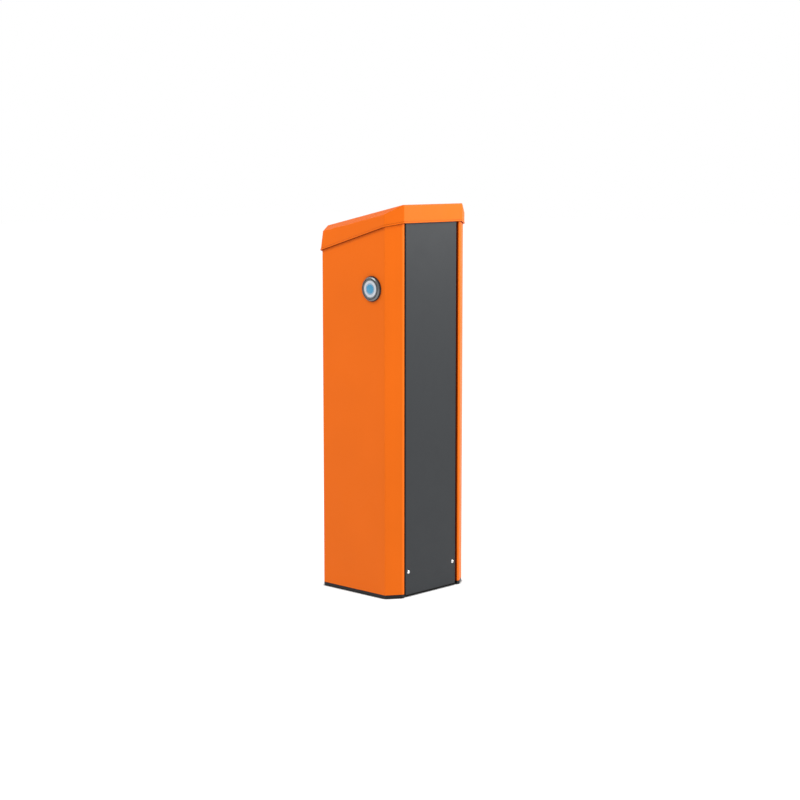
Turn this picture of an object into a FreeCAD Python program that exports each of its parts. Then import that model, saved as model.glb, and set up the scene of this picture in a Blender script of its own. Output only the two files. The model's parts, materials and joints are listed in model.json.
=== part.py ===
import FreeCAD, Part
import math
import os
from FreeCAD import Vector

# Parking barrier cabinet with its boom drive, in millimetres.
# Origin: centre of the four anchor holes, on the underside of the base frame.
# +Z is up, -Y is the front with the fixed dark panel, +Y is the service door,
# the boom flange is on the +X side and the blanking cap on the -X side.

# Driving dimensions -------------------------------------------------------

# Cabinet
height = 915.0
body_width = 268.0
body_depth = 250.0
corner_width = 34.4
corner_depth = 23.5
strip_width = 7.1
sheet = 2.0
shell_bottom = 9.0
shell_into_hood = 8.0
base_gap = 0.4
lip_depth = 10.0
lip_flange = 10.0
bend_radius = 3.0

# Hood
hood_side_overhang = 3.6
hood_front_overhang = 5.0
hood_front_height = 42.0
roof_slope = 0.215
roof_bevel_slope = 0.43
rim_slope = 0.29
rear_lean_deg = 10.0
hood_corner_depth_front = 27.0
hood_corner_depth_rear = 25.0
hem_height = 3.0
hem_proud = 0.7

# Front panel and service door
panel_recess = 2.0
panel_gap = 5.0
panel_bottom = 3.6
plinth_setback = 5.0
panel_return = 12.0
panel_top = 880.0
panel_screw_x = 77.0
panel_screw_z = 59.0
door_recess = 6.0
door_gap = 1.8
door_bottom = 12.0
door_top = 788.0
door_return = 15.0
door_pivot_x = 79.0
door_pivot_y = 111.5
door_pin_r = 4.0
lock_x = -60.0
lock_z = 430.0
lock_barrel_r = 9.0
lock_plug_r = 6.5
lock_square = 4.0

# Frame
upright_face = 84.5
upright_sheet = 3.0
upright_rear = 94.0
upright_top = 846.0
foot_reach = 24.0
foot_bolt_y = 60.0
shell_bracket_levels = (150.0, 420.0, 600.0, 780.0)
shell_bracket_ys = (-78.0, 66.0)
anchor_x = 136.0
anchor_y = 164.0
anchor_hole_r = 7.0
cable_window_x = 100.0
cable_window_y = 80.0
header_top = 812.0

# Boom drive
shaft_y = -60.6
shaft_z = 722.0
shaft_r = 15.0
shaft_left = -112.0
bearing_r = 31.0
bearing_width = 16.0
bearing_ball_r = 4.75
bearing_bolt_offset = 34.0
lever_r = 42.0
spring_arm_r = 50.0
spring_arm_deg = -45.0
link_pin_r = 5.0
link_from = -12.0
link_to = -2.0
arm_from = -1.0
arm_to = 7.0
running_gap = 0.05
open_pivot_gap = 0.3
stop_ends = ((135.0, -1), (225.0, 1))
motor_y = 47.0
motor_z = 600.0
motor_r = 46.0
motor_shaft_r = 8.5
motor_left = 14.0
motor_right = 77.5
motor_bolt_offset = 39.0
hub_r = 30.0
hub_left = 135.5
hub_right = 145.5
hub_screw_sink = 6.5
hub_floor = 4.5
hub_bolt_circle = 46.0
hub_hole_r = 3.4
shell_hole_r = 26.5
cap_r = 29.5
medallion_r = 19.6

# Balance springs
spring_x = 41.0
spring_length = 186.0
spring_wire = 6.0
spring_mean_r = 20.5
spring_turns = 9.0
bracket_top = 659.0
bracket_thick = 6.0
tie_rod_r = 6.0

# Electrical parts
case_face = 108.0
case_back = 68.0
display_x = (-50.0, 30.0)
display_z = (735.0, 765.0)
button_z = 704.0
button_xs = (-46.0, -22.0, 2.0, 26.0)
button_r = 5.0
rail_y = 36.0
rail_z = 300.0
rail_half = 17.5
toggle_y = 86.0
toggle_deg = 25.0

# Derived places
half_w = body_width / 2
half_d = body_depth / 2
corner_x = half_w - corner_width
corner_y = half_d - corner_depth
strip_x = corner_x - strip_width
hood_x = half_w + hood_side_overhang
hood_y = half_d + hood_front_overhang
rim_front_z = height - hood_front_height
web_face = upright_face - upright_sheet
bracket_bottom = bracket_top - bracket_thick
spring_low = bracket_bottom - spring_length
panel_face = -half_d + panel_recess
door_face = half_d - door_recess
shaft_right = hub_right - hub_screw_sink - hub_floor
bearing_race_r = (shaft_r + bearing_r) / 2
spring_pin_y = shaft_y + spring_arm_r * math.cos(math.radians(spring_arm_deg))
spring_pin_z = shaft_z + spring_arm_r * math.sin(math.radians(spring_arm_deg))

X_AXIS = Vector(1, 0, 0)
Y_AXIS = Vector(0, 1, 0)
Z_AXIS = Vector(0, 0, 1)


# Shape helpers ------------------------------------------------------------

def box(x0, x1, y0, y1, z0, z1):
    """Box between two corners."""
    return Part.makeBox(x1 - x0, y1 - y0, z1 - z0, Vector(x0, y0, z0))


def rod(start, axis, radius, length):
    """Round bar from a start point along an axis."""
    return Part.makeCylinder(radius, length, Vector(*start), axis)


def tube(start, axis, outer, inner, length):
    """Round tube from a start point along an axis."""
    return rod(start, axis, outer, length).cut(rod(start, axis, inner, length))


def plate_yz(points, x0, x1):
    """Flat plate across X with its outline given in Y and Z."""
    corners = [Vector(x0, y, z) for y, z in points]
    return Part.Face(Part.makePolygon(corners + corners[:1])).extrude(Vector(x1 - x0, 0, 0))


def plate_xy(points, z0, z1):
    """Flat plate across Z with its outline given in X and Y."""
    corners = [Vector(x, y, z0) for x, y in points]
    return Part.Face(Part.makePolygon(corners + corners[:1])).extrude(Vector(0, 0, z1 - z0))


def mirror_x(shape):
    """The same piece on the other side of the cabinet."""
    return shape.mirror(Vector(0, 0, 0), X_AXIS)


def rounded(shape, radius, pick):
    """Fillet the edges that pick(edge) accepts."""
    return shape.makeFillet(radius, [edge for edge in shape.Edges if pick(edge)])


def runs_along(edge, axis):
    """True for a straight edge along an axis."""
    if len(edge.Vertexes) != 2 or not isinstance(edge.Curve, (Part.Line, Part.LineSegment)):
        return False
    way = edge.Vertexes[1].Point - edge.Vertexes[0].Point
    return way.cross(axis).Length < 1e-6


def group(pieces):
    """Separate solids that share one node."""
    return Part.makeCompound(pieces)


def hex_head(seat, axis, across, thick, shank_r, shank_length):
    """Hexagon bolt: head standing on its seat, shank going the other way."""
    radius = across / 2 / math.cos(math.radians(30))
    turn = FreeCAD.Rotation(Z_AXIS, axis)
    corners = []
    for k in range(6):
        angle = math.radians(60 * k)
        corners.append(Vector(radius * math.cos(angle), radius * math.sin(angle), 0))
    head = Part.Face(Part.makePolygon(corners + corners[:1])).extrude(Vector(0, 0, thick))
    crown = Part.makeCone(radius + thick, radius - 0.7, thick)
    shank = Part.makeCylinder(shank_r, shank_length, Vector(0, 0, -shank_length))
    bolt = head.common(crown).fuse(shank)
    bolt.Placement = FreeCAD.Placement(Vector(*seat), turn)
    return bolt


def folded_sheet(path, thickness):
    """Outline of a folded sheet: its outer line, then back along the inner one."""
    inner = []
    for i, (x, y) in enumerate(path):
        before = path[max(i - 1, 0)]
        after = path[min(i + 1, len(path) - 1)]
        normals = []
        for (ax, ay), (bx, by) in ((before, (x, y)), ((x, y), after)):
            run = math.hypot(bx - ax, by - ay)
            if run > 0:
                normals.append((-(by - ay) / run, (bx - ax) / run))
        nx = sum(n[0] for n in normals)
        ny = sum(n[1] for n in normals)
        scale = thickness * len(normals) / (nx * nx + ny * ny)
        inner.append((x + nx * scale, y + ny * scale))
    return path + inner[::-1]


def trimmed(shape, planes, inset=0.0):
    """Cut away what lies outside each plane, given by a point and its outward normal."""
    reach = 2000.0
    for point, normal in planes:
        outward = Vector(*normal).normalize()
        waste = Part.makeBox(reach, reach, reach, Vector(-reach / 2, -reach / 2, 0))
        turn = FreeCAD.Rotation(Z_AXIS, outward)
        waste.Placement = FreeCAD.Placement(Vector(*point) - outward * inset, turn)
        shape = shape.cut(waste)
    return shape


def rim_z(y):
    """Height of the hood's lower rim."""
    return rim_front_z - rim_slope * (y + hood_y)


def roof_z(y):
    """Height of the roof's middle panel."""
    return height - roof_slope * (y + hood_y)


# Cabinet ------------------------------------------------------------------

def base_outline(inset):
    """Plan of the base: the body's outline, set back under the front panel."""
    front_edge = panel_face + panel_return + 10
    side = half_w - inset
    front = [(strip_x, front_edge), (strip_x, -half_d + inset), (corner_x, -half_d + inset)]
    rear = [(side, corner_y), (corner_x, half_d - inset), (strip_x, half_d - inset),
            (strip_x, half_d - door_recess)]
    right = front + [(side, -corner_y)] + rear
    return right + [(-x, y) for x, y in reversed(right)]


def base_frame():
    top = shell_bottom - base_gap
    base = plate_xy(base_outline(base_gap), 0, top)
    plinth = panel_face + plinth_setback
    base = base.fuse(box(-strip_x, strip_x, plinth, -corner_y, 0, panel_bottom - base_gap)).removeSplitter()
    lowest = [edge for edge in base.Edges if edge.BoundBox.ZMax < 1e-6]
    base = base.makeChamfer(1.2, lowest)
    wide = cable_window_x / 2
    deep = cable_window_y / 2
    rim = box(-wide - 4, wide + 4, -deep - 4, deep + 4, shell_bottom - 1, 22)
    base = base.fuse(rim).cut(box(-wide, wide, -deep, deep, -1, 30))
    for side in (-1, 1):
        inner = half_w - sheet - base_gap
        x0, x1 = sorted((side * (inner - 4), side * inner))
        base = base.fuse(box(x0, x1, -corner_y + 8, corner_y - 8, shell_bottom - 1, 34))
        for y in (-anchor_y / 2, anchor_y / 2):
            base = base.cut(rod((side * anchor_x / 2, y, -1), Z_AXIS, anchor_hole_r, 20))
        for y in (-foot_bolt_y, foot_bolt_y):
            base = base.cut(rod((side * (upright_face + foot_reach / 2), y, 2), Z_AXIS, 3, 20))
    base = base.cut(rod((door_pivot_x, door_pivot_y, 3), Z_AXIS, door_pin_r, 20))
    return base.removeSplitter()


def clamp_bars():
    """Two flat bars that the anchor nuts press on the base."""
    bars = []
    for y in (-anchor_y / 2, anchor_y / 2):
        bar = box(-78, 78, y - 12, y + 12, shell_bottom - base_gap, 16)
        for x in (-anchor_x / 2, anchor_x / 2):
            bar = bar.cut(rod((x, y, 0), Z_AXIS, anchor_hole_r, 30))
        bars.append(bar)
    return group(bars)


def side_shell():
    """Right side shell: side face, two corner faces, and a folded lip at each end."""
    front = [(strip_x + lip_flange, -half_d + lip_depth), (strip_x, -half_d + lip_depth),
             (strip_x, -half_d), (corner_x, -half_d), (half_w, -corner_y)]
    path = front + [(x, -y) for x, y in reversed(front)]
    shell = plate_xy(folded_sheet(path, sheet), shell_bottom, height)
    bends = [(half_w, corner_y), (corner_x, half_d), (strip_x, half_d)]

    def outer_bend(edge):
        if not runs_along(edge, Z_AXIS):
            return False
        at = edge.Vertexes[0].Point
        return any(math.hypot(at.x - x, abs(at.y) - y) < 0.01 for x, y in bends)

    shell = rounded(shell, bend_radius - 1, outer_bend)
    top = (0, 0, rim_z(0) + shell_into_hood)
    shell = trimmed(shell, [(top, (0, rim_slope, 1))])
    return shell.cut(rod((0, shaft_y, shaft_z), X_AXIS, shell_hole_r, 200))


def shell_brackets():
    """Z-shaped sheet brackets that hold the side shells off the uprights."""
    brackets = []
    inner = half_w - sheet
    for z in shell_bracket_levels:
        for y in shell_bracket_ys:
            foot = box(upright_face, upright_face + 3, y, y + 22, z, z + 30)
            web = box(upright_face, inner, y, y + 3, z, z + 30)
            tab = box(inner - 3, inner, y - 19, y + 3, z, z + 30)
            one = foot.fuse([web, tab]).removeSplitter()
            brackets += [one, mirror_x(one)]
    return group(brackets)


def upright():
    """Right upright: a folded plate with a foot, and a front flange for the panel."""
    front = panel_face + sheet + 2
    floor = shell_bottom - base_gap
    web = box(web_face, upright_face, front, upright_rear, floor, upright_top)
    flange = box(60, upright_face, front, front + upright_sheet, 14, upright_top)
    foot = box(web_face, upright_face + foot_reach, -90, 90, floor, floor + upright_sheet)
    one = web.fuse([flange, foot]).removeSplitter()
    one = one.cut(rod((60, shaft_y, shaft_z), X_AXIS, bearing_r + 1, 60))
    one = one.cut(rod((panel_screw_x, front - 5, panel_screw_z), Y_AXIS, 2, 20))
    for y in (-foot_bolt_y, foot_bolt_y):
        one = one.cut(rod((upright_face + foot_reach / 2, y, 0), Z_AXIS, 3, 30))
    return one


def upright_foot_bolts():
    bolts = []
    for side in (-1, 1):
        for y in (-foot_bolt_y, foot_bolt_y):
            seat = (side * (upright_face + foot_reach / 2), y, shell_bottom - base_gap + upright_sheet)
            bolts.append(hex_head(seat, Z_AXIS, 10, 4, 3, 9))
    return bolts


def front_panel():
    """Fixed front panel: a shallow folded tray."""
    wide = strip_x - panel_gap
    back = panel_face + panel_return
    tray = box(-wide, wide, panel_face, back, panel_bottom, panel_top)
    tray = rounded(tray, 2.2, lambda e: e.BoundBox.YMax < panel_face + 1e-6)
    inner = wide - sheet
    tray = tray.cut(box(-inner, inner, panel_face + sheet, back + 1, panel_bottom + sheet, panel_top - sheet))
    for x in (-panel_screw_x, panel_screw_x):
        tray = tray.cut(rod((x, panel_face - 5, panel_screw_z), Y_AXIS, 2, 20))
    return tray


def front_panel_screws():
    """Two domed screws near the foot of the front panel."""
    screws = []
    for x in (-panel_screw_x, panel_screw_x):
        ball = Part.makeSphere(5.6, Vector(x, panel_face + 3.2, panel_screw_z))
        head = ball.common(rod((x, panel_face - 3, panel_screw_z), Y_AXIS, 4.4, 3))
        socket = rod((x, panel_face - 3, panel_screw_z), Y_AXIS, 1.3, 1.7)
        shank = rod((x, panel_face, panel_screw_z), Y_AXIS, 2, 12)
        screws.append(head.cut(socket).fuse(shank))
    return group(screws)


def rear_header():
    """Folded rail over the service door, with the upper hinge point."""
    low = door_top + 3
    back = door_face - sheet - 0.5
    rail = box(-web_face - 2.5, web_face + 2.5, back - 2, back, low, header_top)
    rail = rail.fuse(box(-web_face - 2.5, web_face + 2.5, back - 20, back, low, low + 3))
    for side in (-1, 1):
        x0, x1 = sorted((side * (web_face - 3), side * web_face))
        rail = rail.fuse(box(x0, x1, back - 45, back, low, header_top))
    rail = rail.cut(rod((door_pivot_x, door_pivot_y, low - 1), Z_AXIS, door_pin_r, 12))
    return rail.removeSplitter()


def hood_planes():
    """Outer faces of the hood above its rim, each a point and an outward normal."""
    lean = math.tan(math.radians(rear_lean_deg))
    rear_rim = rim_z(hood_y)
    across = hood_x - corner_x
    planes = [((0, -hood_y, 0), (0, -1, 0)),
              ((0, hood_y, rear_rim), (0, 1, lean)),
              ((0, 0, roof_z(0)), (0, roof_slope, 1))]
    for side in (-1, 1):
        corner = side * corner_x
        planes.append(((side * hood_x, 0, 0), (side, 0, 0)))
        planes.append(((corner, -hood_y, 0), (side * hood_corner_depth_front, -across, 0)))
        planes.append(((corner, hood_y, rear_rim), (side * hood_corner_depth_rear, across, across * lean)))
        planes.append(((corner, 0, roof_z(0)), (side * roof_bevel_slope, roof_slope, 1)))
    return planes


def hood():
    """Sheet-metal hood with bevelled roof sides and a thicker hem round its rim."""
    block = box(-200, 200, -200, 200, 700, 1000)
    rim = [((0, 0, rim_z(0)), (0, -rim_slope, -1))]
    outer = trimmed(trimmed(block, hood_planes()), rim)

    def above_rim(edge):
        centre = edge.CenterOfMass
        return centre.z > rim_z(centre.y) + 1

    outer = rounded(outer, bend_radius, above_rim)
    hem = trimmed(trimmed(block, hood_planes(), -hem_proud), rim)
    hem = trimmed(hem, [((0, 0, rim_z(0) + hem_height), (0, rim_slope, 1))])
    inner = trimmed(block, hood_planes(), sheet)
    return outer.fuse(hem).cut(inner).removeSplitter()


def hood_stiffener():
    """Folded channel under the roof that takes the fixing screws."""
    channel = box(-70, 70, -30, 30, 0, 14)
    channel = channel.cut(box(-68, 68, -28, 28, 2, 20))
    tilt = FreeCAD.Rotation(X_AXIS, -math.degrees(math.atan(roof_slope)))
    drop = Vector(0, -roof_slope, -1).normalize() * (sheet + 14)
    channel.Placement = FreeCAD.Placement(Vector(0, 20, roof_z(20)) + drop, tilt)
    return channel


def hood_rest_pads():
    """Rubber pads on top of the uprights that carry the hood."""
    pads = []
    for y in (-95.0, 70.0):
        for side in (-1, 1):
            x0, x1 = sorted((side * 74, side * 90))
            pad = box(x0, x1, y - 10, y + 10, upright_top, height)
            under_roof = (0, 0, roof_z(0) - sheet - 0.5)
            pads.append(trimmed(pad, [(under_roof, (0, roof_slope, 1))]))
    return group(pads)


# Cap over the unused end of the drive shaft -------------------------------

def cap_ring():
    """Domed ring with a lip and a groove round the medallion's seat, and a spigot into the shell."""
    seat_r = medallion_r + 0.2
    profile = [(0, 2.6), (0, 4.6), (seat_r, 4.6), (seat_r, 6.6), (22.3, 6.6), (23.1, 4.8), (24.1, 4.8),
               (24.9, 6.0), (26.6, 5.6), (cap_r, 2.2), (cap_r, 0), (shell_hole_r, 0), (shell_hole_r, -9),
               (shell_hole_r - 2, -9), (shell_hole_r - 2, 2.6)]
    corners = [Vector(-half_w - proud, shaft_y, shaft_z + radius) for radius, proud in profile]
    face = Part.Face(Part.makePolygon(corners + corners[:1]))
    return face.revolve(Vector(0, shaft_y, shaft_z), X_AXIS, 360)


def cap_medallion():
    """Disc set into the cap ring."""
    front = -half_w - 6.0
    disc = rod((front, shaft_y, shaft_z), X_AXIS, medallion_r, 1.4)
    return rounded(disc, 0.5, lambda e: e.BoundBox.XMax < front + 0.1)


# Service door -------------------------------------------------------------

def door():
    """Service door: a folded tray that turns on two pins."""
    wide = strip_x - door_gap
    back = door_face - sheet - door_return
    tray = box(-wide, wide, back, door_face, door_bottom, door_top)
    tray = rounded(tray, 1.5, lambda e: e.BoundBox.YMin > door_face - 1e-6)
    inner = wide - sheet
    tray = tray.cut(box(-inner, inner, back - 1, door_face - sheet, door_bottom + sheet, door_top - sheet))
    tray = tray.cut(rod((door_pivot_x, door_pivot_y, 0), Z_AXIS, door_pin_r + running_gap, height))
    return tray.cut(rod((lock_x, door_face - 10, lock_z), Y_AXIS, lock_barrel_r, 20))


def door_hinge_pins():
    lower = rod((door_pivot_x, door_pivot_y, 3), Z_AXIS, door_pin_r, 19)
    upper = rod((door_pivot_x, door_pivot_y, door_top - 8), Z_AXIS, door_pin_r, 17)
    return group([lower, upper])


def door_gasket():
    """Rubber strip glued round the inside of the door."""
    wide = strip_x - door_gap - sheet - 1
    low = door_bottom + sheet + 1
    high = door_top - sheet - 1
    back = door_face - sheet
    strip = box(-wide, wide, back - 5, back, low, high)
    strip = strip.cut(box(-wide + 7, wide - 7, back - 9, back + 1, low + 7, high - 7))
    room = rod((door_pivot_x, door_pivot_y, 0), Z_AXIS, door_pin_r + 2, height)
    return strip.cut(room)


def lock_body():
    """Fixed barrel of the quarter-turn lock, with its collar and back nut."""
    barrel = rod((lock_x, door_face - 16, lock_z), Y_AXIS, lock_barrel_r, 16)
    collar = rod((lock_x, door_face, lock_z), Y_AXIS, 12, 3)
    collar = rounded(collar, 1.2, lambda e: e.BoundBox.YMin > door_face + 2.9)
    nut = hex_head((lock_x, door_face - sheet - 5, lock_z), Y_AXIS, 26, 5, 6, 2)
    bore = rod((lock_x, door_face - 30, lock_z), Y_AXIS, lock_plug_r + running_gap, 40)
    return barrel.fuse([collar, nut]).cut(bore)


def lock_plug():
    """Plug with a keyway in front and a square tail for the cam."""
    back = door_face - 22
    plug = rod((lock_x, back, lock_z), Y_AXIS, lock_plug_r, 24.6)
    keyway = box(lock_x - 0.6, lock_x + 0.6, door_face + 0.6, door_face + 3, lock_z - 4, lock_z + 4)
    waste = box(lock_x - 9, lock_x + 9, back - 1, back + 5.5, lock_z - 9, lock_z + 9)
    return plug.cut(waste.cut(square_bar(back - 2, 8))).cut(keyway)


def square_bar(start, length):
    """Square bar along the lock's axis."""
    half = lock_square
    return box(lock_x - half, lock_x + half, start, start + length, lock_z - half, lock_z + half)


def lock_cam():
    """Cam that turns behind the shell's lip."""
    back = door_face - 20.5
    cam = box(lock_x - 8, lock_x + 8, back, back + 3, lock_z - 34, lock_z)
    cam = cam.fuse(rod((lock_x, back, lock_z), Y_AXIS, 10, 3)).removeSplitter()
    return cam.cut(square_bar(back - 1, 5))


# Boom drive ---------------------------------------------------------------

def square_corners(offset):
    """Four corners of a square in Y and Z."""
    return [(dy, dz) for dy in (-offset, offset) for dz in (-offset, offset)]


def polar(radius, degrees):
    """Offset in Y and Z of a point at an angle, measured from +Y towards +Z."""
    turn = math.radians(degrees)
    return radius * math.cos(turn), radius * math.sin(turn)


def link_plate(y0, z0, y1, z1, r0, r1, waist, x0, x1):
    """Flat link with a round eye at each end and a straight waist between them."""
    long = x1 - x0
    run = math.hypot(y1 - y0, z1 - z0)
    ny = -(z1 - z0) / run * waist / 2
    nz = (y1 - y0) / run * waist / 2
    bar = plate_yz([(y0 + ny, z0 + nz), (y1 + ny, z1 + nz), (y1 - ny, z1 - nz), (y0 - ny, z0 - nz)], x0, x1)
    eyes = [rod((x0, y0, z0), X_AXIS, r0, long), rod((x0, y1, z1), X_AXIS, r1, long)]
    return bar.fuse(eyes).removeSplitter()


def drive_shaft():
    """Shaft through both bearings, with a threaded centre hole in each end."""
    shaft = rod((shaft_left, shaft_y, shaft_z), X_AXIS, shaft_r, shaft_right - shaft_left)
    shaft = shaft.makeChamfer(1.5, [edge for edge in shaft.Edges if edge.BoundBox.XLength < 1e-3])
    for x in (shaft_left, shaft_right - 20):
        shaft = shaft.cut(rod((x, shaft_y, shaft_z), X_AXIS, 5, 20))
    return shaft


def shaft_lever():
    """Welded lever on the shaft: hub, two spring arms and one drive arm."""
    hub = rod((-40, shaft_y, shaft_z), X_AXIS, 20, 80)
    arms = []
    dy, dz = polar(spring_arm_r, spring_arm_deg)
    for side in (-1, 1):
        x0, x1 = sorted((side * 26, side * 35))
        arms.append(link_plate(shaft_y, shaft_z, shaft_y + dy, shaft_z + dz, 26, 13, 24, x0, x1))
    arms.append(link_plate(shaft_y, shaft_z, shaft_y + lever_r, shaft_z, 26, 12, 22, arm_from, arm_to))
    lever = hub.fuse(arms).removeSplitter()
    lever = lever.cut(rod((-60, shaft_y, shaft_z), X_AXIS, shaft_r, 120))
    lever = lever.cut(rod((-60, shaft_y + dy, shaft_z + dz), X_AXIS, link_pin_r, 120))
    return lever.cut(rod((-2, shaft_y + lever_r, shaft_z), X_AXIS, link_pin_r, 20))


def spring_pins():
    """Headed pins through the spring arms, each with a clip outside its tie rod."""
    pins = []
    for side in (-1, 1):
        x0, x1 = sorted((side * 24, side * 47.5))
        pin = rod((x0, spring_pin_y, spring_pin_z), X_AXIS, link_pin_r, x1 - x0)
        head_x = 22 if side > 0 else -26
        clip_x = 46.6 if side > 0 else -48.6
        head = rod((head_x, spring_pin_y, spring_pin_z), X_AXIS, 8, 3.8)
        clip = rod((clip_x, spring_pin_y, spring_pin_z), X_AXIS, 7, 2)
        pins.append(pin.fuse([head, clip]).removeSplitter())
    return group(pins)


def link_pin(y, z):
    """Pin of the connecting rod, pressed into the arm, with a keeper plate outside the rod."""
    start = link_from - 2.5
    pin = rod((start, y, z), X_AXIS, link_pin_r, arm_to - start)
    keeper = rod((start, y, z), X_AXIS, 8, 2)
    return pin.fuse(keeper).removeSplitter()


def tie_rods():
    """Two tie rods that hang from the spring arms and pull the springs up."""
    rods = []
    for side in (-1, 1):
        x0, x1 = sorted((side * 36, side * 46))
        eye = rod((x0, spring_pin_y, spring_pin_z), X_AXIS, 12, 10)
        bar = rod((side * spring_x, spring_pin_y, spring_low - 26), Z_AXIS, tie_rod_r,
                  spring_pin_z - spring_low + 18)
        bore = rod((x0 - 1, spring_pin_y, spring_pin_z), X_AXIS, link_pin_r + running_gap, 12)
        rods.append(eye.fuse(bar).removeSplitter().cut(bore))
    return group(rods)


def spring_seats():
    """Lower spring plates on the tie rods, each backed by two nuts."""
    seats = []
    for side in (-1, 1):
        x = side * spring_x
        plate = rod((x, spring_pin_y, spring_low - 6), Z_AXIS, 24, 6)
        plate = plate.fuse(rod((x, spring_pin_y, spring_low - 1), Z_AXIS, 15, 9))
        bore = rod((x, spring_pin_y, spring_low - 60), Z_AXIS, tie_rod_r, 90)
        seats.append(plate.cut(bore))
        for low in (spring_low - 14.2, spring_low - 22.4):
            seats.append(hex_head((x, spring_pin_y, low), Z_AXIS, 19, 8, tie_rod_r + 1, 0.1).cut(bore))
    return group(seats)


def balance_springs():
    """Two round-wire compression springs between the bracket and the lower plates."""
    springs = []
    low = spring_low + spring_wire / 2
    high = bracket_bottom - spring_wire / 2
    pitch = (high - low) / spring_turns
    for side in (-1, 1):
        line = Part.makeHelix(pitch, high - low, spring_mean_r)
        ring = Part.makeCircle(spring_wire / 2 - 0.05, Vector(spring_mean_r, 0, 0),
                               Vector(0, 2 * math.pi * spring_mean_r, pitch))
        coil = Part.Wire(line).makePipeShell([Part.Wire(ring)], True, True)
        coil.translate(Vector(side * spring_x, spring_pin_y, low))
        springs.append(coil)
    return group(springs)


def spring_bracket():
    """Cross plate with a slot for each tie rod, folded down against the uprights."""
    wide = web_face
    front = -78.0
    rear = 18.0
    plate = box(-wide, wide, front, rear, bracket_bottom, bracket_top)
    for side in (-1, 1):
        x0, x1 = sorted((side * (wide - 5), side * wide))
        plate = plate.fuse(box(x0, x1, front, 0, bracket_bottom - 40, bracket_top))
    swing = spring_arm_r - (spring_pin_y - shaft_y)
    half = tie_rod_r + 1.2
    for side in (-1, 1):
        x = side * spring_x
        slot = box(x - half, x + half, spring_pin_y, spring_pin_y + swing, bracket_bottom - 1,
                   bracket_top + 1)
        for y in (spring_pin_y, spring_pin_y + swing):
            slot = slot.fuse(rod((x, y, bracket_bottom - 1), Z_AXIS, half, bracket_thick + 2))
        plate = plate.cut(slot)
    return plate.removeSplitter()


def bearing_housings():
    """Flanged castings outside the uprights that hold the shaft's bearings."""
    housings = []
    for side in (-1, 1):
        flange = box(upright_face, upright_face + 7, shaft_y - 44, shaft_y + 44, shaft_z - 44, shaft_z + 44)
        flange = rounded(flange, 10, lambda e: runs_along(e, X_AXIS))
        boss = rod((upright_face, shaft_y, shaft_z), X_AXIS, 38, 21)
        boss = rounded(boss, 2, lambda e: e.BoundBox.XMin > upright_face + 20)
        one = flange.fuse(boss)
        one = one.cut(rod((upright_face - 1, shaft_y, shaft_z), X_AXIS, bearing_r, bearing_width + 2))
        one = one.cut(rod((upright_face, shaft_y, shaft_z), X_AXIS, shaft_r + 2, 40))
        for dy, dz in square_corners(bearing_bolt_offset):
            one = one.cut(rod((upright_face - 1, shaft_y + dy, shaft_z + dz), X_AXIS, 4, 20))
        housings.append(one if side > 0 else mirror_x(one))
    return group(housings)


def bearing_housing_bolts():
    bolts = []
    for dy, dz in square_corners(bearing_bolt_offset):
        seat = (upright_face + 7, shaft_y + dy, shaft_z + dz)
        bolt = hex_head(seat, X_AXIS, 13, 5.5, 4, 7)
        bolts += [bolt, mirror_x(bolt)]
    return bolts


def bearing_rings(outer, inner):
    """A ring of both shaft bearings, with its half of the ball groove."""
    rings = []
    start = upright_face + 1
    middle = Vector(start + bearing_width / 2, shaft_y, shaft_z)
    groove = Part.makeTorus(bearing_race_r, bearing_ball_r + running_gap, middle, X_AXIS)
    for side in (-1, 1):
        ring = tube((start, shaft_y, shaft_z), X_AXIS, outer, inner, bearing_width).cut(groove)
        rings.append(ring if side > 0 else mirror_x(ring))
    return rings


def bearing_inner_rings(outer):
    """Inner rings of both shaft bearings, with the balls that roll in their grooves."""
    pieces = bearing_rings(outer, shaft_r)
    middle = upright_face + 1 + bearing_width / 2
    for k in range(9):
        dy, dz = polar(bearing_race_r, 40 * k)
        ball = Part.makeSphere(bearing_ball_r, Vector(middle, shaft_y + dy, shaft_z + dz))
        pieces += [ball, mirror_x(ball)]
    return group(pieces)


def boom_hub():
    """Flange outside the right shell that the boom's clamp bolts to."""
    boss_left = hub_left - 23
    disc = rod((hub_left, shaft_y, shaft_z), X_AXIS, hub_r, hub_right - hub_left)
    disc = disc.makeChamfer(1.0, [edge for edge in disc.Edges if edge.BoundBox.XLength < 1e-3])
    hub = disc.fuse(rod((boss_left, shaft_y, shaft_z), X_AXIS, 19, hub_left - boss_left))
    hub = hub.cut(rod((boss_left - 1, shaft_y, shaft_z), X_AXIS, shaft_r, shaft_right - boss_left + 1))
    hub = hub.cut(rod((boss_left, shaft_y, shaft_z), X_AXIS, 5, 60))
    hub = hub.cut(rod((hub_right - hub_screw_sink, shaft_y, shaft_z), X_AXIS, 9, 20))
    for k in range(4):
        dy, dz = polar(hub_bolt_circle / 2, 45 + 90 * k)
        hub = hub.cut(rod((hub_left - 1, shaft_y + dy, shaft_z + dz), X_AXIS, hub_hole_r, 20))
    return hub


def boom_hub_screw():
    """Socket screw sunk in the flange that draws it onto the shaft."""
    seat = hub_right - hub_screw_sink
    head = rod((seat, shaft_y, shaft_z), X_AXIS, 8, 6)
    head = rounded(head, 0.8, lambda e: e.BoundBox.XMin > seat + 5.9)
    socket = hex_head((seat + 2, shaft_y, shaft_z), X_AXIS, 6, 8, 1, 0.5)
    shank = rod((seat - 18, shaft_y, shaft_z), X_AXIS, 5, 18)
    return head.cut(socket).fuse(shank)


def stop_arm():
    """Arm clamped on the shaft that meets a rubber buffer at each end of the swing."""
    dy, dz = polar(42, stop_ends[0][0])
    arm = link_plate(shaft_y, shaft_z, shaft_y + dy, shaft_z + dz, 24, 7, 14, 52, 62)
    return arm.cut(rod((50, shaft_y, shaft_z), X_AXIS, shaft_r, 20))


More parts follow.
